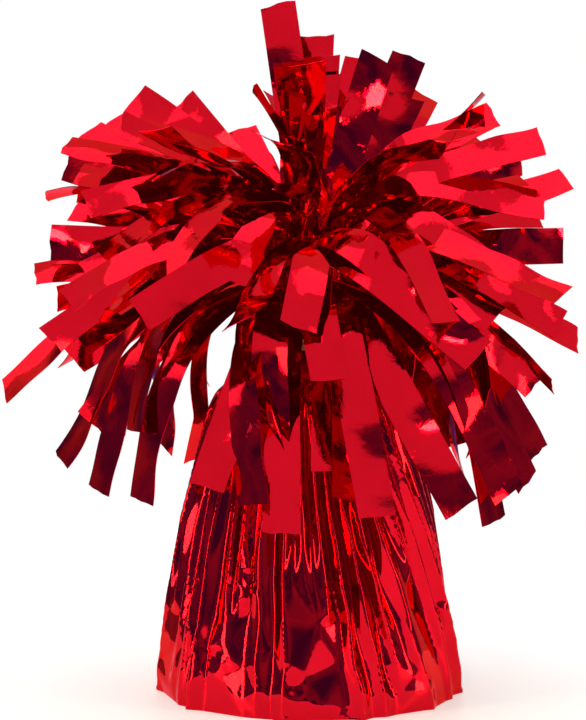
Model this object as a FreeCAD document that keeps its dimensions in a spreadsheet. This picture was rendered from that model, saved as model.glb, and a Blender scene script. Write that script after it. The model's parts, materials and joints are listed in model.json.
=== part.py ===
"""Foil balloon weight: a ballasted plastic bell in two fringed sheets of metallised film.

Units are millimetres.  +Z is up, and the origin is the centre of the underside, so the weight
stands on z = 0.  The two sheets run under the bell, up its sides and in to the neck, where a
rubber band gathers them below the bell's knob.  Above the band their edges are slit into
strips.  The outer sheet's strips hang as the lower tier; the inner sheet's strips make the
middle and upper tiers and the crown.  Each tuft of strips bends about the fold at its root.
"""

import FreeCAD, Part
import math
import os
import Sketcher
from FreeCAD import Vector

Z_AXIS = Vector(0, 0, 1)
LEVEL_SIDES = 8  # the wrapped sheets have eight flat faces

# Driving dimensions: alias, value, meaning.
DIMENSIONS = [
    ("film", 0.25, "thickness of one sheet, drawn thicker than real film"),
    ("slack", 0.25, "gap between one layer and the next"),
    ("wall", 1.2, "wall of the moulded bell"),
    ("bell_foot_radius", 25.2, "outer radius of the bell at its rim"),
    ("bell_top_radius", 16.0, "outer radius of the bell at its shoulder"),
    ("shoulder_height", 51.5, "height of the bell's shoulder"),
    ("post_height", 60.0, "height at which the shoulder meets the post"),
    ("post_radius", 3.8, "radius of the post that the film is gathered on"),
    ("knob_height", 68.0, "underside of the knob"),
    ("knob_radius", 5.0, "radius of the knob that keeps the band on"),
    ("knob_depth", 3.5, "height of the knob"),
    ("closure_depth", 1.8, "thickness of the disc that closes the bell"),
    ("closure_play", 0.15, "gap around the disc, and above it"),
    ("ballast_play", 0.05, "gap between the ballast and the bell"),
    ("band_wire", 0.7, "radius of the rubber band's section"),
    ("band_low", 63.2, "height of the band's lowest turn"),
    ("band_pitch", 1.45, "rise from one turn of the band to the next"),
    ("collar_height", 75.0, "top of the outer sheet's gathered collar"),
    ("collar_apothem", 8.3, "half the width of the collar across its flats"),
    ("bunch_height", 82.0, "top of the inner sheet's gathered bunch"),
    ("bunch_apothem", 5.2, "half the width of the bunch across its flats"),
    ("strip_width", 6.5, "width that the strips are cut to"),
    ("root_run", 5.0, "straight run at a strip's root"),
    ("fold_radius", 0.75, "radius of the rolled fold at a tuft's root"),
    ("sector_reach", 90.0, "radius of the sector that a tuft is trimmed to"),
    ("sector_margin", 1.5, "angle left free on each side of a tuft, in degrees"),
]

# Each tier: where the fold of its tufts is, and how their strips leave it.  Angles are in degrees
# above the horizontal.  The strips of a tuft lie in two columns, fan out from first in even
# steps from a pinch a little way inside the fold, and bend down through the turn before they
# run straight.
TIERS = {
    "lower": dict(shift=22.5, fold_at=9.5, fold_height=76.0, first=-22.0, step=4.0, pinch=2.2,
                  bend=14.0, bend_step=2.0, turn=54.0, spread=9.0),
    "middle": dict(shift=0.0, fold_at=7.4, fold_height=79.5, first=8.0, step=5.0, pinch=2.0,
                   bend=40.0, bend_step=1.0, turn=38.0, spread=9.0),
    "upper": dict(shift=15.0, fold_at=5.8, fold_height=83.2, first=43.0, step=4.0, pinch=2.4,
                  bend=60.0, bend_step=1.0, turn=26.0, spread=12.0),
    "crown": dict(shift=90.0, fold_at=2.9, fold_height=84.2, first=73.0, step=2.5, pinch=3.6,
                  bend=200.0, bend_step=0.0, turn=3.0, spread=20.0),
}
ROWS = 3  # strips in each column of a tuft

# Length of the strips in each tuft, going round from the +X side towards +Y.
LENGTHS = {
    "lower": [48, 46, 47, 52, 58, 48, 46, 52],
    "middle": [45, 46, 46, 48, 52, 46, 44, 44],
    "upper": [44, 42, 44, 44, 40, 42],
    "crown": [40, 35, 37],
}


def new_sheet(doc):
    """The spreadsheet of driving dimensions, each cell with an alias."""
    sheet = doc.addObject("Spreadsheet::Sheet", "Dimensions")
    rows = list(DIMENSIONS)
    for tier, values in TIERS.items():
        rows += [(f"{tier}_{key}", value, f"{key} of the {tier} tier")
                 for key, value in values.items()]
        rows += [(f"{tier}_length_{number}", length, f"strip length, {tier} tuft {number}")
                 for number, length in enumerate(LENGTHS[tier], start=1)]
    for row, (alias, value, meaning) in enumerate(rows, start=1):
        sheet.set(f"A{row}", meaning)
        sheet.set(f"B{row}", repr(value))
        sheet.setAlias(f"B{row}", alias)
    doc.recompute()
    return sheet


def bind(obj, prop, expression):
    """Binds a property to an expression in which a bare alias means that cell of the sheet."""
    words, out = "", []
    for ch in expression + " ":
        if ch.isalnum() or ch == "_":
            words += ch
            continue
        if words:
            known = words in ALIASES
            out.append(f"Dimensions.{words}" if known else words)
            words = ""
        out.append(ch)
    obj.setExpression(prop, "".join(out).strip())


def value_of(expression):
    """The number that an expression of aliases gives, for a sketch's starting geometry."""
    return float(FreeCAD.ActiveDocument.Dimensions.evalExpression(expression))


def plane(body, role):
    return next(f for f in body.Origin.OriginFeatures if f.Role == role)


def new_body(doc, name):
    body = doc.addObject("PartDesign::Body", name)
    body.AllowCompound = True
    return body


def profile(body, name, corners):
    """A closed outline on the body's XZ plane from corners (radius, height), each an expression.

    Every corner is held by its two bound distances from the origin, so the sheet drives it."""
    sketch = body.newObject("Sketcher::SketchObject", name)
    sketch.AttachmentSupport = [(plane(body, "XZ_Plane"), "")]
    sketch.MapMode = "FlatFace"
    points = [Vector(value_of(r), value_of(h), 0) for r, h in corners]
    count = len(points)
    sketch.addGeometry([Part.LineSegment(points[i], points[(i + 1) % count]) for i in range(count)])
    joins = [Sketcher.Constraint("Coincident", i, 2, (i + 1) % count, 1) for i in range(count)]
    sketch.addConstraint(joins)
    for i, (radius, height) in enumerate(corners):
        for kind, expression in (("DistanceX", radius), ("DistanceY", height)):
            at = points[i].x if kind == "DistanceX" else points[i].y
            number = sketch.addConstraint(Sketcher.Constraint(kind, -1, 1, i, 1, at))
            bind(sketch, f"Constraints[{number}]", expression)
    return sketch


def revolved(doc, name, corners):
    """A body turned from one closed outline about the vertical axis."""
    body = new_body(doc, name)
    outline = profile(body, name + "_outline", corners)
    turn = body.newObject("PartDesign::Revolution", name + "_turn")
    turn.Profile = outline
    turn.ReferenceAxis = (outline, ["V_Axis"])
    turn.Angle = 360
    return body


def weight_bell(doc):
    """The moulded bell: tapered wall, sloping shoulder, post and knob."""
    foot = "2 * film + 2 * slack"
    return revolved(doc, "weight_bell", [
        ("bell_foot_radius", foot),
        ("bell_top_radius", "shoulder_height"),
        ("post_radius", "post_height"),
        ("post_radius", "knob_height"),
        ("knob_radius", "knob_height + 0.4"),
        ("knob_radius", "knob_height + knob_depth - 0.8"),
        ("knob_radius - 1.2", "knob_height + knob_depth"),
        ("0", "knob_height + knob_depth"),
        ("0", "post_height - 1.5 * wall"),
        ("post_radius", "post_height - 1.5 * wall"),
        ("bell_top_radius - wall", "shoulder_height - wall"),
        ("bell_foot_radius - wall", foot),
    ])


def inside_of_bell(height):
    """The bell's inner radius at a height, as an expression."""
    foot = "(2 * film + 2 * slack)"
    fall = f"(bell_foot_radius - bell_top_radius) / (shoulder_height - wall - {foot})"
    return f"bell_foot_radius - wall - ({height} - {foot}) * {fall}"


def base_closure(doc):
    """The disc pushed into the bell's mouth, with its edge tapered like the bell."""
    low, high = "2 * film + 2 * slack", "2 * film + 2 * slack + closure_depth"
    return revolved(doc, "base_closure", [
        ("0", low),
        (f"{inside_of_bell('(' + low + ')')} - closure_play", low),
        (f"{inside_of_bell('(' + high + ')')} - closure_play", high),
        ("0", high),
    ])


def ballast(doc):
    """The cast block that fills the bell above its closure."""
    low = "2 * film + 2 * slack + closure_depth + closure_play"
    high = "shoulder_height - wall - ballast_play"
    return revolved(doc, "ballast", [
        ("0", low),
        (f"{inside_of_bell('(' + low + ')')} - ballast_play", low),
        ("bell_top_radius - wall - ballast_play", high),
        ("0", high),
    ])


def rubber_band(doc):
    """Three turns of a rubber band round the gathered film, as one doubled-up loop."""
    turns = []
    for turn in range(3):
        ring = doc.addObject("Part::Torus", f"band_turn_{turn + 1}")
        bind(ring, "Radius2", "band_wire")
        bind(ring, "Radius1", "(post_radius + 2 * slack + 2 * film) / cos(180 deg / 8) + band_wire + 0.05")
        bind(ring, "Placement.Base.z", f"band_low + {turn} * band_pitch")
        turns.append(ring)
    loop = doc.addObject("Part::Compound", "rubber_band")
    loop.Links = turns
    return loop


def stack(doc, name, levels):
    """A ruled loft through level eight-sided sections, each (apothem, height) as expressions."""
    sections = []
    for number, (apothem, height) in enumerate(levels, start=1):
        ring = doc.addObject("Part::RegularPolygon", f"{name}_level_{number}")
        ring.Polygon = LEVEL_SIDES
        bind(ring, "Circumradius", f"({apothem}) / cos(180 deg / {LEVEL_SIDES})")
        bind(ring, "Placement.Base.z", height)
        sections.append(ring)
    loft = doc.addObject("Part::Loft", name)
    loft.Sections = sections
    loft.Solid = True
    loft.Ruled = True
    return loft


def wrap_levels(out, rise, top):
    """The levels of a surface that follows the bell at a distance out, from height rise to top."""
    return [
        (f"bell_foot_radius + {out}", rise),
        (f"bell_top_radius + {out}", f"shoulder_height + 0.5 + {out}"),
        (f"post_radius + {out}", f"post_height + 1 + {out}"),
        (f"post_radius + {out}", "knob_height - 1"),
        (f"knob_radius + {out}", "knob_height + 0.6"),
    ] + top


def foil_sheet_outer(doc):
    """The outer sheet: flat under the base, flat-sided round the bell, gathered, then flared."""
    skin = stack(doc, "outer_sheet_skin", wrap_levels(
        "2 * film + 2 * slack", "0", [("collar_apothem", "collar_height")]))
    room = stack(doc, "outer_sheet_room", wrap_levels(
        "film + 2 * slack", "film", [("collar_apothem - film", "collar_height + 0.01")]))
    sheet = doc.addObject("Part::Cut", "foil_sheet_outer")
    sheet.Base, sheet.Tool = skin, room
    return sheet


def foil_sheet_inner(doc):
    """The inner sheet: it follows the bell and closes over the knob into a solid bunch."""
    skin = stack(doc, "inner_sheet_skin", wrap_levels("film + slack", "film + slack", [
        ("knob_radius + film + slack", "knob_height + knob_depth + 2"),
        ("bunch_apothem", "bunch_height"),
    ]))
    room = stack(doc, "inner_sheet_room", wrap_levels("slack", "2 * film + slack", [
        ("knob_radius + slack", "knob_height + knob_depth + 0.5"),
    ]))
    sheet = doc.addObject("Part::Cut", "foil_sheet_inner")
    sheet.Base, sheet.Tool = skin, room
    return sheet


class StripSketch:
    """A sketch of the edge-on outlines of strips that fan out from one fold line."""

    def __init__(self, body, name, tier, side):
        self.tier = tier
        self.sketch = body.newObject("Sketcher::SketchObject", name)
        self.sketch.AttachmentSupport = [(plane(body, "XZ_Plane"), "")]
        self.sketch.MapMode = "FlatFace"
        bind(self.sketch, "AttachmentOffset.Rotation.Angle", f"{side} * {tier}_spread")
        self.sketch.setExpression("AttachmentOffset.Rotation.Axis.y", "1")
        self.sketch.setExpression("AttachmentOffset.Rotation.Axis.z", "0")
        middle = f"({tier}_first + {ROWS - 0.5} * {tier}_step) * 1 deg"
        across = f"{tier}_fold_at - {tier}_pinch * cos({middle})"
        up = f"{tier}_fold_height - {tier}_pinch * sin({middle})"
        self.pinch = Vector(value_of(across), value_of(up), 0)
        self.start = self.sketch.addGeometry(Part.Point(self.pinch), True)
        self.held("DistanceX", (-1, 1, self.start, 1), self.pinch.x, across)
        self.held("DistanceY", (-1, 1, self.start, 1), self.pinch.y, up)

    def held(self, kind, where, start, expression):
        """Adds a dimension and binds it to the sheet."""
        number = self.sketch.addConstraint(Sketcher.Constraint(kind, *where, start))
        bind(self.sketch, f"Constraints[{number}]", expression)

    def strip(self, row, length):
        """One strip: a straight root, a bend downward, and a straight tail."""
        tier, film, run = self.tier, value_of("film"), value_of("root_run")
        angle = f"{tier}_first + {row} * {tier}_step"
        bend = f"{tier}_bend + {row} * {tier}_bend_step"
        tail = f"{length} - root_run - ({bend}) * {tier}_turn * pi / 180"
        start, turn, radius = value_of(angle), value_of(f"{tier}_turn"), value_of(bend)
        tail_length = value_of(tail)

        def heading(degrees):
            return Vector(math.cos(math.radians(degrees)), math.sin(math.radians(degrees)), 0)

        along, across = heading(start), heading(start + 90)
        after, beside = heading(start - turn), heading(start - turn + 90)
        root = self.pinch + along * value_of(f"{tier}_pinch")
        centre = root + along * run - across * (radius + film / 2)
        high, low = radius + film, radius
        root_high, root_low = root + across * film / 2, root - across * film / 2
        knee_high, knee_low = root_high + along * run, root_low + along * run
        turn_high, turn_low = centre + beside * high, centre + beside * low
        tip_high, tip_low = turn_high + after * tail_length, turn_low + after * tail_length
        ends = math.radians(start - turn + 90), math.radians(start + 90)

        def arc(size):
            return Part.ArcOfCircle(Part.Circle(centre, Z_AXIS, size), *ends)

        guide = self.sketch.addGeometry(Part.LineSegment(self.pinch, root), True)
        first = self.sketch.addGeometry([
            Part.LineSegment(root_low, root_high),
            Part.LineSegment(root_high, knee_high),
            arc(high),
            Part.LineSegment(turn_high, tip_high),
            Part.LineSegment(tip_high, tip_low),
            Part.LineSegment(tip_low, turn_low),
            arc(low),
            Part.LineSegment(knee_low, root_low),
        ])[0]
        end, upper, outer, upper_tail, tip, lower_tail, inner, lower = range(first, first + 8)
        self.sketch.addConstraint([
            Sketcher.Constraint("Coincident", guide, 1, self.start, 1),
            Sketcher.Constraint("Symmetric", end, 1, end, 2, guide, 2),
            Sketcher.Constraint("Perpendicular", guide, end),
            Sketcher.Constraint("Coincident", end, 2, upper, 1),
            Sketcher.Constraint("Perpendicular", end, upper),
            Sketcher.Constraint("Tangent", upper, 2, outer, 2),
            Sketcher.Constraint("Tangent", outer, 1, upper_tail, 1),
            Sketcher.Constraint("Coincident", upper_tail, 2, tip, 1),
            Sketcher.Constraint("Perpendicular", upper_tail, tip),
            Sketcher.Constraint("Coincident", tip, 2, lower_tail, 1),
            Sketcher.Constraint("Tangent", lower_tail, 2, inner, 1),
            Sketcher.Constraint("Tangent", inner, 2, lower, 1),
            Sketcher.Constraint("Coincident", lower, 2, end, 1),
            Sketcher.Constraint("Coincident", outer, 3, inner, 3),
        ])
        self.held("Distance", (guide,), value_of(f"{tier}_pinch"), f"{tier}_pinch")
        self.held("Angle", (guide,), math.radians(start), f"({angle}) * 1 deg")
        self.held("Distance", (end,), film, "film")
        self.held("Distance", (upper,), run, "root_run")
        self.held("Radius", (inner,), low, bend)
        self.held("Distance", (tip,), film, "film")
        self.held("Distance", (upper_tail,), tail_length, tail)
        self.held("Angle", (upper_tail,), math.radians(start - turn),
                  f"({angle} - {tier}_turn) * 1 deg")


def fan(doc, tier, number):
    """The strips of one tuft before trimming, with the rolled fold at their root."""
    name = f"{tier}_fan_{number}"
    body = new_body(doc, name)
    for side, column in ((-1, "left"), (1, "right")):
        outline = StripSketch(body, f"{name}_{column}_outline", tier, side)
        for row in range(ROWS):
            outline.strip(2 * row + (side + 1) // 2, f"{tier}_length_{number}")
        pad = body.newObject("PartDesign::Pad", f"{name}_{column}")
        pad.Profile = outline.sketch
        pad.SideType = "Symmetric"
        bind(pad, "Length", "strip_width")
    roll = body.newObject("Sketcher::SketchObject", f"{name}_fold_outline")
    roll.AttachmentSupport = [(plane(body, "XZ_Plane"), "")]
    roll.MapMode = "FlatFace"
    at = value_of(f"{tier}_fold_at"), value_of(f"{tier}_fold_height")
    roll.addGeometry(Part.Circle(Vector(*at, 0), Z_AXIS, value_of("fold_radius")))
    for kind, where, start, expression in (
        ("DistanceX", (-1, 1, 0, 3), at[0], f"{tier}_fold_at"),
        ("DistanceY", (-1, 1, 0, 3), at[1], f"{tier}_fold_height"),
        ("Radius", (0,), value_of("fold_radius"), "fold_radius"),
    ):
        place = roll.addConstraint(Sketcher.Constraint(kind, *where, start))
        bind(roll, f"Constraints[{place}]", expression)
    pad = body.newObject("PartDesign::Pad", f"{name}_fold")
    pad.Profile = roll
    pad.SideType = "Symmetric"
    bind(pad, "Length", "strip_width")
    return body


def tufts(doc, tier):
    """The tufts of a tier: each is a fan trimmed to its sector and turned to its place."""
    count = len(LENGTHS[tier])
    slice_ = doc.addObject("Part::Cylinder", f"{tier}_sector")
    bind(slice_, "Radius", "sector_reach")
    slice_.Height = 160
    bind(slice_, "Angle", f"{360 / count} - 2 * sector_margin")
    bind(slice_, "Placement.Rotation.Angle", f"({-180 / count} + sector_margin) * 1 deg")
    made = []
    for number in range(1, count + 1):
        tuft = doc.addObject("Part::Common", f"{tier}_tuft_{number}")
        tuft.Base = fan(doc, tier, number)
        tuft.Tool = slice_
        bind(tuft, "Placement.Rotation.Angle",
             f"({tier}_shift + {(number - 1) * 360 / count}) * 1 deg")
        made.append(tuft)
    return made


def checked(doc, parts):
    """Stops the build if any object failed or any sub-part isn't whole, valid solids."""
    for obj in doc.Objects:
        if "Invalid" in obj.State or "Error" in obj.State:
            raise RuntimeError(f"{obj.Label} failed: {obj.State}")
    for part in parts:
        shape = part.Shape
        if shape.isNull() or not shape.isValid() or not shape.Solids:
            raise RuntimeError(f"{part.Label} has no valid solid")


def main():
    doc = FreeCAD.newDocument("foil_balloon_weight")
    new_sheet(doc)
    ALIASES.update(alias for alias, _, _ in DIMENSIONS)
    for tier, values in TIERS.items():
        ALIASES.update(f"{tier}_{key}" for key in values)
        ALIASES.update(f"{tier}_length_{n}" for n in range(1, len(LENGTHS[tier]) + 1))
    parts = [make(doc) for make in (
        weight_bell, ballast, base_closure, foil_sheet_inner, foil_sheet_outer, rubber_band)]
    for tier in TIERS:
        parts += tufts(doc, tier)
    doc.recompute()
    checked(doc, parts)
    os.makedirs("parts", exist_ok=True)
    for part in parts:
        part.Shape.exportStep(f"parts/{part.Label}.step")
        box = part.Shape.BoundBox
        print(f"{part.Label}: {len(part.Shape.Solids)} solids, {part.Shape.Volume:.1f} mm3, "
              f"{box.XLength:.1f} x {box.YLength:.1f} x {box.ZLength:.1f}, top {box.ZMax:.1f}")


ALIASES = set()
main()
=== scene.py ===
"""A foil balloon weight: pleated mirror film round a tapered weight, and a burst of cut strips.

Lengths in this file are millimetres until a mesh is made, when MM turns them to metres.
Angles are degrees.  Azimuth 0 is +X, 90 is +Y (the back) and 270 is the front.
"""

import json
import math
import random

import bmesh
import bpy
import numpy as np
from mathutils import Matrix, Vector
from mathutils.geometry import delaunay_2d_cdt


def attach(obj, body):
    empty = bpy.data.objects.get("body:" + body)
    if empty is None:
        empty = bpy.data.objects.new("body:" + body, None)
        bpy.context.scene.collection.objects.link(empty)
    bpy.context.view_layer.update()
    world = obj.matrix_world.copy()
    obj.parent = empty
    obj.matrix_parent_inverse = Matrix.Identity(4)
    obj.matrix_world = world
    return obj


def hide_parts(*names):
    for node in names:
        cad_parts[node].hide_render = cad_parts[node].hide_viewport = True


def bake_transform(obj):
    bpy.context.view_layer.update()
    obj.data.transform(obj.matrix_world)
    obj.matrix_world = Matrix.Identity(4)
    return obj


MM = 0.001

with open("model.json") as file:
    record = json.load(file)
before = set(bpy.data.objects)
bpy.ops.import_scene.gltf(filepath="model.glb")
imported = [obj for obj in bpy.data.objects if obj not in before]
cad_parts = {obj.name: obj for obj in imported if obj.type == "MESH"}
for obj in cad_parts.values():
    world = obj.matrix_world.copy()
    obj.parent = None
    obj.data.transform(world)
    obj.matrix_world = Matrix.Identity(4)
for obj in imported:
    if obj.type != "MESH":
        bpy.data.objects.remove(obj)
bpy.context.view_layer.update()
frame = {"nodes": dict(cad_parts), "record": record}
record = frame["record"]


# ---------------------------------------------------------------- helpers


def unit(v):
    return v / np.linalg.norm(v)


def turned(v, axis, degrees):
    """Vector v turned about a unit axis."""
    a = math.radians(degrees)
    return v * math.cos(a) + np.cross(axis, v) * math.sin(a) + axis * (v @ axis) * (1 - math.cos(a))


def smooth(x, low, high):
    """0 below low, 1 above high, and a smooth rise between."""
    t = np.clip((np.asarray(x, float) - low) / (high - low), 0.0, 1.0)
    return t * t * (3 - 2 * t)


def mesh_object(name, points, faces, material, sharp=35.0):
    """A smooth-shaded mesh object from points in millimetres."""
    mesh = bpy.data.meshes.new(name)
    mesh.from_pydata([tuple(p) for p in np.asarray(points) * MM], [], faces)
    mesh.validate()
    mesh.shade_smooth()
    mesh.set_sharp_from_angle(angle=math.radians(sharp))
    mesh.materials.append(material)
    obj = bpy.data.objects.new(name, mesh)
    bpy.context.scene.collection.objects.link(obj)
    return obj


# ---------------------------------------------------------------- materials


def new_material(name):
    """A node material, its nodes, a linker, its shader and object coordinates."""
    material = bpy.data.materials.new(name)
    material.use_nodes = True
    nodes, links = material.node_tree.nodes, material.node_tree.links
    shader = nodes["Principled BSDF"]
    where = nodes.new("ShaderNodeTexCoord").outputs["Object"]
    return material, nodes, links, shader, where


def noise(nodes, links, where, scale, detail=3.0, distortion=0.0):
    """A noise value at a place, with scale cells to each unit of length."""
    node = nodes.new("ShaderNodeTexNoise")
    node.inputs["Scale"].default_value = scale
    node.inputs["Detail"].default_value = detail
    node.inputs["Distortion"].default_value = distortion
    links.new(where, node.inputs["Vector"])
    return node.outputs["Fac"]


def ramp(nodes, links, value, stops):
    """A colour ramp over value with stops of (place, colour)."""
    node = nodes.new("ShaderNodeValToRGB")
    low, high = node.color_ramp.elements
    (low.position, low.color), (high.position, high.color) = stops[0], stops[-1]
    for place, colour in stops[1:-1]:
        node.color_ramp.elements.new(place).color = colour
    links.new(value, node.inputs["Fac"])
    return node.outputs["Color"]


def bump(nodes, links, height, shader, distance):
    """Bumps of this many metres on a shader's surface."""
    node = nodes.new("ShaderNodeBump")
    node.inputs["Distance"].default_value = distance
    node.inputs["Strength"].default_value = 1.0
    links.new(height, node.inputs["Height"])
    links.new(node.outputs["Normal"], shader.inputs["Normal"])


def film_material(name, roughness, crinkle):
    """Red-lacquered metallised film: a tinted mirror under a clear untinted coat."""
    material, nodes, links, shader, where = new_material(name)
    shader.inputs["Metallic"].default_value = 1.0
    shader.inputs["Coat Weight"].default_value = 0.11
    shader.inputs["Coat Roughness"].default_value = 0.02
    shader.inputs["Coat IOR"].default_value = 1.5
    shader.inputs["Specular Tint"].default_value = (1.0, 0.32, 0.38, 1)
    # a weak glow, in place of the light that the renderer drops after many reflections
    shader.inputs["Emission Color"].default_value = (0.40, 0.001, 0.02, 1)
    shader.inputs["Emission Strength"].default_value = 0.02
    lacquer = noise(nodes, links, where, 90.0, 4.0)
    colour = ramp(nodes, links, lacquer, [
        (0.3, (0.57, 0.0002, 0.010, 1)), (0.55, (0.63, 0.0003, 0.012, 1)),
        (0.75, (0.69, 0.0006, 0.014, 1))])
    links.new(colour, shader.inputs["Base Color"])
    rubbed = noise(nodes, links, where, 260.0, 2.0)
    spread = nodes.new("ShaderNodeMapRange")
    spread.inputs["To Min"].default_value = roughness * 0.6
    spread.inputs["To Max"].default_value = roughness * 1.6
    links.new(rubbed, spread.inputs["Value"])
    links.new(spread.outputs["Result"], shader.inputs["Roughness"])
    fine = noise(nodes, links, where, 420.0, 4.0, 0.4)
    bump(nodes, links, fine, shader, crinkle * MM)
    return material


def moulded_plastic(name):
    """Off-white moulded plastic, faintly mottled and grained."""
    material, nodes, links, shader, where = new_material(name)
    grey = noise(nodes, links, where, 60.0, 4.0)
    colour = ramp(nodes, links, grey, [
        (0.3, (0.60, 0.60, 0.57, 1)), (0.7, (0.74, 0.74, 0.71, 1))])
    links.new(colour, shader.inputs["Base Color"])
    shader.inputs["Roughness"].default_value = 0.42
    bump(nodes, links, noise(nodes, links, where, 900.0), shader, 0.05 * MM)
    return material


def cast_cement(name):
    """Rough cement with sand in it."""
    material, nodes, links, shader, where = new_material(name)
    sand = noise(nodes, links, where, 700.0, 8.0)
    colour = ramp(nodes, links, sand, [
        (0.25, (0.16, 0.155, 0.15, 1)), (0.5, (0.36, 0.35, 0.33, 1)),
        (0.8, (0.52, 0.51, 0.48, 1))])
    links.new(colour, shader.inputs["Base Color"])
    shader.inputs["Roughness"].default_value = 0.93
    bump(nodes, links, sand, shader, 0.4 * MM)
    return material


def band_rubber(name):
    """Tan natural rubber, cloudy and slightly rough."""
    material, nodes, links, shader, where = new_material(name)
    cloud = noise(nodes, links, where, 240.0, 5.0)
    colour = ramp(nodes, links, cloud, [
        (0.3, (0.42, 0.22, 0.09, 1)), (0.7, (0.58, 0.34, 0.15, 1))])
    links.new(colour, shader.inputs["Base Color"])
    shader.inputs["Roughness"].default_value = 0.55
    bump(nodes, links, cloud, shader, 0.08 * MM)
    return material


STRIP_FILM = film_material("strip_film", roughness=0.05, crinkle=0.05)
WRAP_FILM = film_material("wrap_film", roughness=0.05, crinkle=0.008)
INNER_MATERIALS = {
    "weight_bell": moulded_plastic("bell_plastic"),
    "base_closure": moulded_plastic("closure_plastic"),
    "ballast": cast_cement("ballast_cement"),
    "rubber_band": band_rubber("band_rubber"),
}


# ---------------------------------------------------------------- strips

WIDTH = 6.5  # strips are cut to this width
FILM = 0.12  # thickness drawn for a strip
ACROSS = 5  # points across a strip
STEP = 1.0  # spacing of points along a strip
PINCHED = 11.0  # length over which a strip opens out from its gathered root
ROOT_WIDTH = 0.55  # share of its width that a strip has at the root
PLEAT = 0.30  # depth of the pleat at the root, as a share of the width
CUP = 0.30  # most that a strip's middle stands off its edges
SKEW = 1.3  # most that one corner of the cut end is ahead of the other
RAGGED = 0.22  # most that a point of the cut end is out of line
CURL_FROM = 0.67  # share of the length where the curl begins


def strip(rng, root, azimuth, elevation, length, droop, roll, twist, curl, folds):
    """Points of one strip: a flat ribbon that only ever bends about its own width.

    droop bends it towards its underside over its whole length, curl over its last third;
    roll turns it about its length at the root, twist from root to tip, and each of folds is
    (share of the length, angle, slant), a crease across the strip."""
    a, e = math.radians(azimuth), math.radians(elevation)
    along = np.array([math.cos(e) * math.cos(a), math.cos(e) * math.sin(a), math.sin(e)])
    side = turned(np.array([-math.sin(a), math.cos(a), 0.0]), along, roll)
    face = np.cross(along, side)
    count = max(12, int(length / STEP))
    step = length / count
    place = np.array(root, float)
    u = np.linspace(-0.5, 0.5, ACROSS)
    pleat = rng.choice([-1.0, 1.0])
    waves = []
    for _ in range(2):
        size, wave, phase = rng.uniform(0.14, 0.36), rng.uniform(9, 20), rng.uniform(0, 6.3)
        waves.append((size, wave, phase, rng.uniform(-0.5, 0.5)))
    skew = rng.uniform(-SKEW, SKEW)
    ragged = [rng.uniform(-RAGGED, RAGGED) for _ in u]
    cup = rng.uniform(-CUP, CUP)
    rows = []
    for i in range(count + 1):
        s = i / count
        spread = ROOT_WIDTH + (1 - ROOT_WIDTH) * smooth(s * length, 0.0, PINCHED)
        chord = WIDTH * spread
        hollow = pleat * WIDTH * PLEAT * (1 - smooth(s * length, 0.0, PINCHED * 1.25))
        row = []
        for k, across in enumerate(u):
            lift = (hollow + cup) * (1 - (2 * across) ** 2)
            for size, wave, phase, lean in waves:
                turn = math.tau * (s * length + lean * across * WIDTH) / wave + phase
                lift += size * spread * math.sin(turn) * (0.35 + across * 1.1)
            ahead = 0.0
            if i == count:
                ahead = skew * across + ragged[k]
            row.append((place + side * across * chord + face * lift + along * ahead, face))
        rows.append(row)
        if i == count:
            break
        middle = (i + 0.5) / count
        # most of the bend is midway, and the whole of it adds up to 0.95 of the droop
        rate = 1.577 * math.sin(math.pi * min(1.0, 0.12 + middle * 1.02))
        bend = droop * step / length * rate
        if middle > CURL_FROM:
            bend += curl * step / (length * (1 - CURL_FROM))
        along, face = turned(along, side, bend), turned(face, side, bend)
        roll_now = twist * step / length
        side, face = turned(side, along, roll_now), turned(face, along, roll_now)
        for share, angle, slant in folds:
            if middle - 0.5 / count <= share < middle + 0.5 / count:
                hinge = unit(side * math.cos(math.radians(slant))
                             + along * math.sin(math.radians(slant)))
                along, side, face = (turned(v, hinge, angle) for v in (along, side, face))
        place = place + along * step
    return rows


# (height, radius) of the skirt, its highest ridges included.
SKIRT = ((0.0, 28.6), (9.0, 28.0), (33.0, 24.6), (52.0, 19.6), (58.0, 15.4), (62.0, 9.0), (64.0, 0.0))
OFF_SKIRT = 0.8  # least room left between the skirt and a strip


def draped(rows, fold, downward):
    """The rows of a strip kept off the skirt, with room for its fold to turn downward too."""
    kept = []
    for row in rows:
        moved = []
        for point, face in row:
            away = np.linalg.norm(point - fold)
            clear = np.interp(point[2], *zip(*SKIRT))
            if clear > 0:
                clear += OFF_SKIRT + away * math.sin(math.radians(downward))
            radius = math.hypot(point[0], point[1])
            if radius < clear:
                point = np.array([point[0] * clear / radius, point[1] * clear / radius, point[2]])
            moved.append((point, face))
        kept.append(moved)
    return kept


def strips_mesh(rows_of_strips):
    """Closed thin solids from the strips' rows of (point, face direction)."""
    points, faces = [], []
    for rows in rows_of_strips:
        first, n = len(points), ACROSS
        for row in rows:
            points += [p + f * FILM / 2 for p, f in row] + [p - f * FILM / 2 for p, f in row]

        def at(i, k, under):
            return first + i * 2 * n + under * n + k

        last = len(rows) - 1
        for i in range(last):
            for k in range(n - 1):
                faces.append((at(i, k, 0), at(i + 1, k, 0), at(i + 1, k + 1, 0), at(i, k + 1, 0)))
                faces.append((at(i, k, 1), at(i, k + 1, 1), at(i + 1, k + 1, 1), at(i + 1, k, 1)))
            faces.append((at(i, 0, 1), at(i + 1, 0, 1), at(i + 1, 0, 0), at(i, 0, 0)))
            faces.append((at(i, n - 1, 0), at(i + 1, n - 1, 0), at(i + 1, n - 1, 1), at(i, n - 1, 1)))
        for k in range(n - 1):
            faces.append((at(0, k, 0), at(0, k + 1, 0), at(0, k + 1, 1), at(0, k, 1)))
            faces.append((at(last, k, 1), at(last, k + 1, 1), at(last, k + 1, 0), at(last, k, 0)))
    return points, faces


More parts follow.
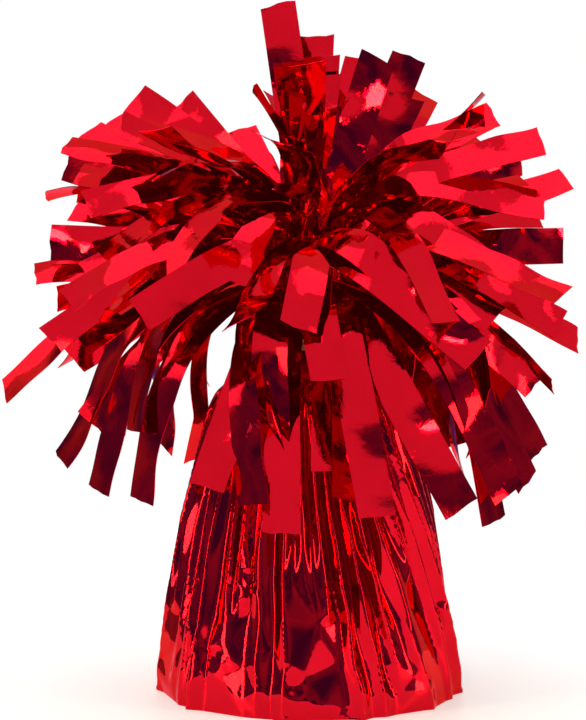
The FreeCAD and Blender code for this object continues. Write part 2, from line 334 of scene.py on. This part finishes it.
PER_TUFT = 6  # strips in a tuft, or more where more are listed in PLACED
SHORTER = 0.88  # share of the reach that strips not listed in PLACED have, on average
# How the strips of each tier leave their fold: lowest and highest elevation, the range of their
# droop, their reach, the range of their length as a share of it, and the range of their roll.
STYLES = {
    "lower": dict(elevation=(-30, 8), droop=(55, 90), reach=50, share=(0.90, 1.10), roll=(8, 45)),
    "middle": dict(elevation=(2, 36), droop=(18, 50), reach=47, share=(0.88, 1.06), roll=(15, 75)),
    "upper": dict(elevation=(38, 66), droop=(5, 34), reach=45, share=(0.85, 1.06), roll=(15, 75)),
    "crown": dict(elevation=(74, 106), droop=(-4, 10), reach=41, share=(0.62, 0.92),
                  roll=(-50, 50)),
}
FRONT_FALL = 52  # extra droop of a tuft that faces the front, where the photo's strips fall
CROWN_LEAN = 24  # how far the crown's front strips lean back, which opens the middle of the burst
STEEPEST = 98  # no strip droops so far that it points further down than this

# Strips listed one by one, the ones that shape the outline and hide the gather.
# Each is: tuft, azimuth, elevation, length, droop, roll, twist, curl.
PLACED = [
    # two tall strips that lean back and face the front, above everything else
    ("crown_tuft_1", 115, 71, 42, 0, -25, 0, 3),
    ("crown_tuft_1", 85, 72, 37, 5, 5, -15, 0),
    # up and to the left, two broad ones
    ("upper_tuft_3", 140, 41, 36, 6, -60, 0, 0),
    ("upper_tuft_3", 158, 35, 41, 14, -45, 10, 0),
    ("upper_tuft_3", 128, 33, 34, 8, -50, 0, 0),
    ("upper_tuft_3", 148, 28, 38, 10, -38, 12, 0),
    ("upper_tuft_3", 118, 44, 27, 10, -28, 0, 0),
    ("upper_tuft_3", 168, 42, 30, 22, -55, 10, 0),
    # a sheaf straight out to the left, one under another
    ("middle_tuft_4", 155, 33, 47, 18, -40, 0, 0),
    ("middle_tuft_5", 172, 28, 38, 14, -35, 0, 5),
    ("middle_tuft_5", 180, 18, 36, 12, -55, 10, 0),
    ("middle_tuft_5", 186, 4, 39, 4, -75, 0, 0),
    ("middle_tuft_5", 190, 2, 42, 10, -35, 0, 0),
    ("middle_tuft_5", 194, -5, 40, 14, 50, 0, 0),
    # the long arc at the left, and the ones that hang below it
    ("lower_tuft_5", 198, 5, 54, 58, -32, 0, 0),
    ("lower_tuft_5", 200, 0, 56, 92, -28, 0, -25),
    ("lower_tuft_5", 216, -4, 54, 84, -15, 0, 0),
    ("lower_tuft_6", 226, -2, 55, 84, -18, 15, 5),
    ("lower_tuft_6", 240, -18, 50, 60, 20, 0, 0),
    # up and to the right, narrow and turned nearly edge on
    ("crown_tuft_3", 20, 72, 32, 4, 55, 10, 0),
    ("upper_tuft_1", 30, 60, 28, 6, 60, 0, 0),
    ("upper_tuft_1", 12, 47, 35, 20, 24, 10, 0),
    # straight out to the right: slim ones above a broad one
    ("middle_tuft_1", 10, 44, 31, 18, 24, 0, 0),
    ("middle_tuft_1", 4, 32, 35, 18, 30, 0, 5),
    ("middle_tuft_1", 352, 3, 38, 3, 78, 0, 0),
    # down to the right, fanned like fingers
    ("lower_tuft_8", 349, 2, 42, 40, 34, 0, 0),
    ("lower_tuft_8", 345, -6, 43, 38, -32, 0, 0),
    ("lower_tuft_8", 338, -14, 38, 40, 35, 10, 0),
    ("lower_tuft_8", 335, -15, 48, 62, 28, 0, 0),
    ("lower_tuft_8", 328, -20, 50, 58, 22, 0, -8),
    ("lower_tuft_7", 318, 0, 60, 92, 12, 0, 0),
    ("lower_tuft_7", 308, -4, 56, 84, 20, 10, 0),
    # over the shoulder at the front, fanning out to both sides
    ("lower_tuft_6", 252, -30, 46, 34, -24, 15, 0),
    ("lower_tuft_6", 264, -40, 52, 24, 14, -12, 0),
    ("lower_tuft_7", 270, -52, 38, 10, -8, 10, 0),
    ("lower_tuft_7", 276, -26, 50, 48, 18, -20, 0),
    ("lower_tuft_7", 284, -44, 44, 20, -20, 10, 0),
    ("lower_tuft_7", 296, -34, 52, 28, 30, 10, 0),
    # arcs that fall over the front of the gather and spread before it
    ("upper_tuft_5", 250, 50, 42, 104, -38, 25, 10),
    ("upper_tuft_5", 232, 46, 44, 84, -44, -20, 0),
    ("upper_tuft_6", 306, 48, 43, 92, 46, 25, -15),
    ("upper_tuft_6", 288, 34, 46, 88, 24, -30, 0),
    ("upper_tuft_4", 214, 52, 42, 78, -40, -25, 12),
    ("middle_tuft_7", 254, 22, 46, 70, -36, -22, 8),
    ("middle_tuft_7", 284, 16, 48, 74, 32, 26, -10),
    ("middle_tuft_7", 268, 12, 40, 72, 6, 12, 0),
    ("middle_tuft_7", 276, 30, 34, 84, -10, -8, 0),
    ("middle_tuft_6", 236, 26, 48, 66, -40, 16, 10),
    ("middle_tuft_6", 222, 14, 48, 58, -30, -10, 0),
    ("middle_tuft_8", 306, 26, 48, 70, 40, -14, -8),
    ("middle_tuft_8", 318, 14, 46, 52, 26, 10, 0),
    ("crown_tuft_2", 262, 104, 27, 0, -6, 10, 0),
    ("crown_tuft_3", 284, 100, 25, 6, 12, -14, 0),
    ("upper_tuft_5", 262, 44, 34, 96, -16, -14, 0),
    ("upper_tuft_6", 300, 40, 36, 88, 30, 12, 0),
    ("upper_tuft_4", 226, 42, 38, 84, -34, 10, 0),
    ("crown_tuft_2", 232, 66, 38, 84, -34, 24, 12),
    ("crown_tuft_2", 205, 58, 38, 52, -50, 10, 0),
    ("crown_tuft_3", 335, 56, 38, 50, 50, 10, 0),
    ("upper_tuft_4", 198, 40, 42, 40, -52, 12, 0),
    ("upper_tuft_6", 326, 40, 42, 44, 54, 12, 0),
    ("crown_tuft_3", 306, 98, 26, 0, 24, -12, 0),
]


def make_tuft(joint):
    """One tuft of strips, which leaves the weight at its fold."""
    name = joint["child"]
    tier = name.split("_")[0]
    style = STYLES[tier]
    rng = random.Random(name)
    fold = np.array(joint["pos_m"]) / MM
    azimuth = math.degrees(math.atan2(fold[1], fold[0]))
    count = sum(1 for j in record["behaviour"]["joints"] if j["child"].startswith(tier))
    half = 180 / count
    sideways = np.array([-math.sin(math.radians(azimuth)), math.cos(math.radians(azimuth)), 0])
    facing = max(0.0, -math.sin(math.radians(azimuth)))  # 1 for a tuft at the front
    calm = 1 - 0.6 * facing
    fall = 0 if tier == "crown" else FRONT_FALL * facing
    lean_back = CROWN_LEAN * facing if tier == "crown" else 0
    rows = []
    for tuft_name, *how in PLACED:
        if tuft_name == name:
            crease = (rng.uniform(0.4, 0.8), rng.uniform(-6, 6), rng.uniform(-20, 20))
            rows.append(strip(rng, fold, *how, [crease]))
    for i in range(len(rows), PER_TUFT):
        low, high = style["elevation"]
        elevation = low + (i + 0.5) / PER_TUFT * (high - low)
        elevation += rng.uniform(-3, 3) + lean_back
        swing = half * 0.72 * (1 if i % 2 else -1) * rng.uniform(0.25, 1.0)
        root = fold + sideways * math.tan(math.radians(swing)) * 1.5
        tilt = math.copysign(1, math.cos(math.radians(azimuth))) * (1 if rng.random() < 0.75 else -1)
        droop = min(rng.uniform(*style["droop"]) + fall, STEEPEST + elevation)
        folds = []
        if rng.random() < 0.4:
            folds.append((rng.uniform(0.3, 0.85), rng.uniform(-30, 40), rng.uniform(-25, 25)))
        length = SHORTER * style["reach"] * rng.uniform(*style["share"])
        roll = tilt * calm * rng.uniform(*style["roll"])
        twist = rng.uniform(-50, 50)
        curl = rng.uniform(-25, 35 - 0.3 * droop)
        rows.append(strip(rng, root, azimuth + swing, elevation, length, droop, roll, twist, curl,
                          folds))
    downward = -joint["range_deg"][0]
    rows = [draped(strip_rows, fold, downward) for strip_rows in rows]
    tuft = mesh_object(f"strips_{name}", *strips_mesh(rows), STRIP_FILM)
    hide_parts(name)
    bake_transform(tuft)


# ---------------------------------------------------------------- wrapped sheets


# (azimuth, lean) of the corners of the wrapped base: lean is how far round the corner's ridge
# goes on its way up.
CORNERS = ((180, 8), (218, 6), (261, -4), (290, -16), (322, -32), (355, -40), (390, -28),
           (425, -14), (465, 4), (505, 10))
PLEAT_SPACING = 10  # degrees between the small ridges, about
PLEAT_END = 22  # length over which a pleat that stops part of the way down dies out
CORNER_RIDGE, SMALL_RIDGE, VALLEY = -0.15, -0.25, 1.0  # shares of the pleats' depth, inward
SHEET = 0.15  # thickness drawn for a sheet
MOST_CUTS = 9  # halvings of an edge, at most, to bring it down to the grain
FLAT_UNDER = 0.8  # nothing this close above the underside is rounded

# A profile is the closest a sheet comes to the axis, as (radius, height) from the edge of the
# base up.  It clears the bell, post, knob and rubber band of the CAD.  Corner lift and depth are
# stops along the profile, as (run from the base's edge, size).
OUTER_PROFILE = (
    (26.3, 0.0), (26.1, 4.0), (25.1, 9.0),  # the edge of the base and the upright part above it
    (17.1, 52.0), (16.2, 54.6), (12.4, 58.6),  # up the taper and over the bell's shoulder
    (5.2, 61.6), (4.95, 62.4), (4.95, 67.2),  # in to the neck and through the rubber band
    (5.9, 68.6), (7.0, 70.0), (9.2, 75.5))  # out again over the knob, to where the strips start
OUTER_CORNER_LIFT = (
    (0, 1.4), (4, 1.9), (9, 1.9), (19, 2.5), (33, 2.6), (43, 1.9), (52, 1.4), (62, 0.2), (68, 0.0),
    (74, 0.0), (84, 0.5))
OUTER_DEPTH = (
    (0, 0.8), (4, 1.2), (10, 2.2), (34, 2.6), (52, 2.0), (62, 0.4), (68, 0.0), (74, 0.0), (82, 1.0))
# (azimuth, run, size, depth) of the patches of fine creases, most of them at the front
OUTER_CRUMPLES = (
    (228, 10, 5, 0.25), (240, 24, 3, 0.25), (270, 2, 3, 0.30), (318, 5, 3, 0.25),
    (345, 16, 4, 0.25), (60, 12, 5, 0.30), (110, 24, 4, 0.25), (150, 6, 4, 0.30))
INNER_PROFILE = (
    (25.7, 0.50), (25.7, 1.6), (16.6, 52.3), (12.0, 56.8),  # close over the bell
    (4.8, 60.9), (4.45, 62.0), (4.45, 66.8), (5.5, 68.0), (5.9, 70.0),  # neck and knob
    (5.9, 74.0), (4.2, 79.0), (5.5, 83.0))  # closed over the knob and out into a bunch
INNER_CORNER_LIFT = ((0, 0.05), (78, 0.05))
INNER_DEPTH = ((0, 0.0), (76, 0.0), (82, 0.3))
SKIRT_LEVELS = (0.0, 3.6, 9.5, 16.5, 24.0, 31.5, 39.0, 46.0)  # runs where pleats have points
LOOSE_CREASES = 14  # single points off the taut sheet, low on the skirt
CREASES_PER_AREA = 1.6  # points in a crumple, for each mm2 of its size squared


def between(place, stops):
    """The value at a place along a list of (place, value) stops."""
    return float(np.interp(place, [p for p, _ in stops], [v for _, v in stops]))


def lines_of_pleats(rng, shoulder, levels, depth, taut):
    """Ridges and valleys that run down from the top edge, each a chain of (azimuth, run, radius).

    A ridge runs from every corner of the base to the top.  Between two of them the sheet is
    gathered into smaller pleats, which end part of the way down and leave a flat gore."""
    chains = []

    def chain(low, high, share, foot, sink, wander):
        points = []
        for level in levels:
            if level < foot:
                continue
            climb = min(1.0, level / shoulder)
            left, right = (corner + lean * climb for corner, lean in (low, high))
            azimuth = left + (right - left) * share
            on_skirt = 0 < level < shoulder
            azimuth += rng.uniform(-wander, wander) * on_skirt
            level += rng.uniform(-1.6, 1.6) * on_skirt
            ending = smooth(level, foot, foot + PLEAT_END) if foot > 0 else 1.0
            sunk = sink * between(level, depth) * rng.uniform(0.75, 1.25) * ending
            points.append((azimuth, level, taut(azimuth, level) - sunk))
        chains.append(points)

    turns = list(CORNERS) + [(CORNERS[0][0] + 360, CORNERS[0][1])]
    for low, high in zip(turns, turns[1:]):
        gap = high[0] - low[0]
        extra = max(2, round(gap / PLEAT_SPACING) - 1)
        feet = [shoulder * max(0.0, rng.uniform(-0.20, 0.45)) for _ in range(extra + 2)]
        places = [0.0]
        places += [(k + 1 + rng.uniform(-0.16, 0.16)) / (extra + 1) for k in range(extra)]
        places.append(1.0)
        chain(low, high, 0.0, 0.0, CORNER_RIDGE, 0.5)
        for k in range(extra + 1):
            middle = (places[k] + places[k + 1]) / 2
            chain(low, high, middle, min(feet[k], feet[k + 1]), VALLEY, 0.9)
            if k < extra:
                chain(low, high, places[k + 1], feet[k + 1], SMALL_RIDGE, 0.9)
    return chains


def triangulated(chains, loose, edge):
    """Triangles through chained and loose points, on a sheet that closes round on itself."""
    around = math.tau * edge
    spots, owners, edges, kept = [], [], [], []

    def place(point):
        kept.append(point)
        across = math.radians(point[0]) % math.tau * edge
        numbers = []
        for copy in (-1, 0, 1):
            numbers.append(len(spots))
            spots.append(Vector((across + copy * around, point[1])))
            owners.append(len(kept) - 1)
        return numbers

    for points in chains:
        rows = [place(p) for p in points]
        for a, b in zip(rows, rows[1:]):
            step = (spots[b[1]] - spots[a[1]]).x / around
            shift = -round(step)
            for copy in range(3):
                if 0 <= copy + shift < 3:
                    edges.append((a[copy], b[copy + shift]))
    for point in loose:
        place(point)
    verts, _, tris, origin, _, _ = delaunay_2d_cdt(spots, edges, [], 0, 1e-6)
    faces = []
    for tri in tris:
        middle = sum(verts[i].x for i in tri) / 3
        if 0 <= middle < around:
            face = tuple(owners[origin[i][0]] for i in tri)
            if len(set(face)) == 3:
                faces.append(face)
    return kept, faces


def refined(points, faces, longest, rounds, still):
    """The same surface in triangles no longer than longest, its creases rounded a little.

    Each round moves a point half of the way to the middle of its neighbours, but not the rim's
    points or those that still picks."""
    work = bmesh.new()
    verts = [work.verts.new(p) for p in points]
    for face in faces:
        work.faces.new([verts[i] for i in face])
    for _ in range(MOST_CUTS):
        long_edges = [e for e in work.edges if e.calc_length() > longest]
        if not long_edges:
            break
        bmesh.ops.subdivide_edges(work, edges=long_edges, cuts=1)
        bmesh.ops.triangulate(work, faces=[f for f in work.faces if len(f.verts) > 3])
    bmesh.ops.recalc_face_normals(work, faces=work.faces)
    work.verts.index_update()
    where = np.array([tuple(v.co) for v in work.verts])
    pairs = np.array([[v.index for v in e.verts] for e in work.edges])
    rim = np.array([v.is_boundary for v in work.verts])
    triangles = np.array([[v.index for v in f.verts] for f in work.faces])
    rim_edges = [(e.verts[0].index, e.verts[1].index) for e in work.edges if e.is_boundary]
    work.free()
    fixed = rim | still(where)
    degree = np.bincount(pairs.ravel(), minlength=len(where))[:, None]
    for _ in range(rounds):
        total = np.zeros_like(where)
        np.add.at(total, pairs[:, 0], where[pairs[:, 1]])
        np.add.at(total, pairs[:, 1], where[pairs[:, 0]])
        moved = where * 0.5 + total / degree * 0.5
        where = np.where(fixed[:, None], where, moved)
    return where, triangles, rim_edges


def thickened(points, triangles, rim_edges, thick):
    """A closed solid: the surface, a second layer inside it, and a wall round the open rim."""
    a, b, c = (points[triangles[:, k]] for k in range(3))
    flat = np.cross(b - a, c - a)
    normal = np.zeros_like(points)
    for k in range(3):
        np.add.at(normal, triangles[:, k], flat)
    normal /= np.maximum(np.linalg.norm(normal, axis=1, keepdims=True), 1e-12)
    outward = np.sum(normal[:, :2] * points[:, :2]) > 0
    if not outward:
        normal, triangles = -normal, triangles[:, ::-1]
    count = len(points)
    faces = [tuple(t) for t in triangles] + [tuple(t[::-1] + count) for t in triangles]
    way = {(t[k], t[(k + 1) % 3]) for t in triangles for k in range(3)}
    for i, j in rim_edges:
        if (i, j) not in way:
            i, j = j, i
        faces.append((j, i, i + count, j + count))
    return np.concatenate([points, points - normal * thick]), faces


def wrap_sheet(name, profile, seed, corner_lift, depth, kinks, crumples, grain, rounds):
    """A sheet gathered round the weight, from the middle of the underside to its top edge.

    corner_lift and depth are how far corners stand off the profile and how deep pleats are;
    kinks is how far loose creases stand off the taut sheet.  The finished mesh has edges no
    longer than grain, and its creases are rounded in that many rounds."""
    rng = random.Random(seed)
    profile = np.array(profile, float)
    run = np.concatenate([[0], np.cumsum(np.linalg.norm(np.diff(profile, axis=0), axis=1))])
    edge = profile[0, 0]
    shoulder = float(run[np.argmax(profile[:, 0] < edge * 0.8)])

    def nearest(level):
        return float(np.interp(level, run, profile[:, 0]))

    def taut(azimuth, level):
        """Radius of the sheet stretched flat from corner to corner."""
        climb = min(1.0, level / shoulder)
        azimuths = [corner + lean * climb for corner, lean in CORNERS]
        azimuths.append(azimuths[0] + 360)
        turned_to = (azimuth - azimuths[0]) % 360 + azimuths[0]
        k = max(0, min(len(azimuths) - 2, int(np.searchsorted(azimuths, turned_to)) - 1))
        low, high = azimuths[k], azimuths[k + 1]
        half, off = math.radians((high - low) / 2), math.radians(turned_to - (low + high) / 2)
        return (nearest(level) + between(level, corner_lift)) * math.cos(half) / math.cos(off)

    above = [p for p in run if p >= shoulder]
    halfway = [(a + b) / 2 for a, b in zip(above, above[1:]) if b - a > 3]
    levels = [p for p in SKIRT_LEVELS if p < shoulder - 3] + sorted(above + halfway)
    chains = lines_of_pleats(rng, shoulder, levels[::-1], depth, taut)
    loose = []
    for corner, _ in CORNERS:  # the folded-over ears of film beside each corner
        for side in (-1, 1):
            spread, tall = rng.uniform(2.2, 6.0), rng.uniform(7.0, 15.0)
            for level in (0.0, tall * 0.5):
                at = corner + side * spread * (1 - level / tall)
                tucked = between(level, corner_lift) * rng.uniform(0.1, 0.5)
                loose.append((at, level, taut(at, level) - tucked))
    for _ in range(LOOSE_CREASES):
        azimuth, level = rng.uniform(0, 360), rng.uniform(3.0, shoulder * 0.5)
        loose.append((azimuth, level, taut(azimuth, level) + kinks * rng.uniform(-1.0, 0.2)))
    for azimuth, level, size, deep in crumples:
        for _ in range(int(size * size * CREASES_PER_AREA)):
            at, far = rng.uniform(0, math.tau), size * math.sqrt(rng.random())
            spot = max(0.4, level + far * math.sin(at) * 0.9)
            turn = azimuth + math.degrees(far * math.cos(at) / edge)
            loose.append((turn, spot, taut(turn, spot) + rng.uniform(-deep, deep)))
    kept, faces = triangulated(chains, loose, edge)
    points = []
    for azimuth, level, radius in kept:
        radius = max(radius, nearest(level))
        turn = math.radians(azimuth)
        points.append((radius * math.cos(turn), radius * math.sin(turn),
                       float(np.interp(level, run, profile[:, 1]))))
    floor = profile[0, 1]
    close_underside(rng, kept, points, faces, floor)
    fine = refined(points, faces, grain, rounds, lambda where: where[:, 2] < floor + FLAT_UNDER)
    return mesh_object(name, *thickened(*fine, SHEET), WRAP_FILM, sharp=55)


def close_underside(rng, kept, points, faces, floor):
    """Adds the sheet's underside to points and faces: a ring inside its edge, and a centre."""
    rim = sorted((math.atan2(points[k][1], points[k][0]), k)
                 for k, p in enumerate(kept) if p[1] == 0.0)
    inner = []
    for angle, k in rim:
        radius = math.hypot(*points[k][:2]) * rng.uniform(0.62, 0.72)
        height = floor + rng.uniform(0.05, 0.22)
        inner.append(len(points))
        points.append((radius * math.cos(angle), radius * math.sin(angle), height))
    centre = len(points)
    points.append((0.0, 0.0, floor + 0.15))
    for n in range(len(rim)):
        m = (n + 1) % len(rim)
        faces.append((rim[n][1], inner[n], inner[m]))
        faces.append((rim[n][1], inner[m], rim[m][1]))
        faces.append((inner[n], centre, inner[m]))


def make_wraps():
    """The outer and inner sheets, which ride on the weight."""
    outer = wrap_sheet("outer_sheet", OUTER_PROFILE, "outer", OUTER_CORNER_LIFT, OUTER_DEPTH,
                       kinks=0.4, crumples=OUTER_CRUMPLES, grain=0.7, rounds=9)
    inner = wrap_sheet("inner_sheet", INNER_PROFILE, "inner", INNER_CORNER_LIFT, INNER_DEPTH,
                       kinks=0.0, crumples=(), grain=1.6, rounds=0)
    for sheet, node in ((outer, "foil_sheet_outer"), (inner, "foil_sheet_inner")):
        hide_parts(node)
        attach(sheet, "weight")
    return outer, inner


# ---------------------------------------------------------------- studio


CENTRE = (0, 0, 0.07)  # metres, just above the neck, where the lights point
FLOOR_RADIUS = 0.19  # small, because the film mirrors it and the photo's film is dark low down
WHITE, WARM = (1.0, 1.0, 1.0), (1.0, 0.80, 0.32)
# Each is: name, place, width and height in metres, watts, colour.
LIGHTS = (
    ("left_strip", (-0.90, -0.50, 0.40), (0.17, 0.9), 4.6, WARM),
    ("right_strip", (0.95, -0.45, 0.35), (0.14, 0.8), 3.6, WARM),
    ("top_box", (0.0, 0.10, 1.20), (0.8, 0.8), 2.8, WHITE),
    ("left_panel", (-1.2, 0.20, 0.90), (0.8, 0.8), 2.4, WHITE),
    ("front_spot", (-0.25, -1.3, 0.9), (0.17, 0.17), 3.6, WARM),
)
# The room's bright parts, each as where it begins, where it is full, and its brightness there.
# Places are heights or ways across, from -1 to 1.
CEILING = (0.31, 0.46, 0.92)
BACKDROP = (0.38, 0.75, 0.85)
BACKDROP_RIGHT = (-0.35, 0.10, 0.80)
BELOW = (0.22, 0.36, 0.80)
CEILING_TILT = 0.22  # how much the ceiling's edge rises towards the front
BACKDROP_LEFT = 0.10  # share of the backdrop's brightness that is left at its left end
CLUTTER_GAIN, CLUTTER_CUT = 1.05, 0.38  # only the noise above this shows, as patches of light
DARKEST = 0.05  # least brightness of the room
LEAST_BLUE = 0.42  # least blue of it, which keeps the dark film from going black

CAMERA_PLACE = (-0.003, -0.60, 0.125)  # metres
CAMERA_AIM = (-0.003, 0, 0.0602)
LENS, SENSOR = 168.0, 36.0  # millimetres


def area_light(name, place, size, power, colour):
    """A soft box that faces the centre."""
    lamp = bpy.data.lights.new(name, "AREA")
    lamp.shape = "RECTANGLE"
    lamp.size, lamp.size_y = size
    lamp.energy = power
    lamp.color = colour
    obj = bpy.data.objects.new(name, lamp)
    obj.location = place
    obj.rotation_euler = (Vector(CENTRE) - Vector(place)).to_track_quat("-Z", "Y").to_euler()
    bpy.context.scene.collection.objects.link(obj)


def studio_floor():
    """A pale disc under the object, which glows a little so that it stays white to its edge."""
    floor_material, _, _, shader, _ = new_material("studio_floor")
    shader.inputs["Base Color"].default_value = (0.80, 0.80, 0.81, 1)
    shader.inputs["Roughness"].default_value = 0.40
    shader.inputs["Specular IOR Level"].default_value = 0.2
    shader.inputs["Emission Color"].default_value = (1, 1, 1, 1)
    shader.inputs["Emission Strength"].default_value = 0.30
    mesh = bpy.data.meshes.new("floor")
    around = [math.tau * k / 96 for k in range(96)]
    mesh.from_pydata([(FLOOR_RADIUS * math.cos(a), FLOOR_RADIUS * math.sin(a), 0) for a in around],
                     [], [range(96)])
    mesh.materials.append(floor_material)
    floor = bpy.data.objects.new("floor", mesh)
    bpy.context.scene.collection.objects.link(floor)


def room():
    """The room that the film mirrors: bright above and behind, dark in front, bluish all round.

    The camera itself sees plain white."""
    world = bpy.data.worlds.new("room")
    bpy.context.scene.world = world
    world.use_nodes = True
    nodes, links = world.node_tree.nodes, world.node_tree.links
    background = nodes["Background"]
    way = nodes.new("ShaderNodeTexCoord").outputs["Generated"]
    parts = nodes.new("ShaderNodeSeparateXYZ")
    links.new(way, parts.inputs[0])

    def maths(operation, first, second):
        node = nodes.new("ShaderNodeMath")
        node.operation = operation
        for socket, value in zip(node.inputs, (first, second)):
            if isinstance(value, float):
                socket.default_value = value
            else:
                links.new(value, socket)
        return node.outputs[0]

    def rise(value, part):
        low, high, top = part
        node = nodes.new("ShaderNodeMapRange")
        node.interpolation_type = "SMOOTHSTEP"
        node.inputs["From Min"].default_value = low
        node.inputs["From Max"].default_value = high
        node.inputs["To Max"].default_value = top
        links.new(value, node.inputs["Value"])
        return node.outputs["Result"]

    ahead = maths("MINIMUM", parts.outputs["Y"], 0.0)
    lowered = maths("ADD", parts.outputs["Z"], maths("MULTIPLY", ahead, CEILING_TILT))
    ceiling = rise(lowered, CEILING)
    backdrop = rise(parts.outputs["Y"], BACKDROP)
    backdrop_side = maths("MAXIMUM", rise(parts.outputs["X"], BACKDROP_RIGHT), BACKDROP_LEFT)
    backdrop = maths("MULTIPLY", backdrop, backdrop_side)
    clutter = maths("MULTIPLY", noise(nodes, links, way, 3.2, 2.0), CLUTTER_GAIN)
    clutter = maths("SUBTRACT", clutter, CLUTTER_CUT)
    bright = maths("MAXIMUM", maths("MAXIMUM", ceiling, backdrop), clutter)
    below = rise(maths("MULTIPLY", parts.outputs["Z"], -1.0), BELOW)
    bright = maths("MAXIMUM", maths("MAXIMUM", bright, below), DARKEST)
    shade = nodes.new("ShaderNodeCombineColor")
    links.new(bright, shade.inputs["Red"])
    links.new(bright, shade.inputs["Green"])
    links.new(maths("MAXIMUM", bright, LEAST_BLUE), shade.inputs["Blue"])
    path = nodes.new("ShaderNodeLightPath")
    mix = nodes.new("ShaderNodeMix")
    mix.data_type = "RGBA"
    links.new(path.outputs["Is Camera Ray"], mix.inputs["Factor"])
    links.new(shade.outputs["Color"], mix.inputs["A"])
    mix.inputs["B"].default_value = (1, 1, 1, 1)
    links.new(mix.outputs["Result"], background.inputs["Color"])


def camera():
    """The photo's view: a long lens, slightly above the object."""
    lens = bpy.data.cameras.new("camera")
    lens.lens = LENS
    lens.sensor_width = SENSOR
    lens.clip_start, lens.clip_end = 0.05, 20.0
    obj = bpy.data.objects.new("camera", lens)
    obj.location = CAMERA_PLACE
    way = Vector(CAMERA_AIM) - Vector(CAMERA_PLACE)
    obj.rotation_euler = way.to_track_quat("-Z", "Y").to_euler()
    bpy.context.scene.collection.objects.link(obj)
    bpy.context.scene.camera = obj
    bpy.context.scene.view_settings.view_transform = "Standard"


def main():
    for node, material in INNER_MATERIALS.items():
        frame["nodes"][node].data.materials.clear()
        frame["nodes"][node].data.materials.append(material)
    outer, inner = make_wraps()
    for joint in record["behaviour"]["joints"]:
        make_tuft(joint)
    studio_floor()
    for light in LIGHTS:
        area_light(*light)
    room()
    camera()


main()
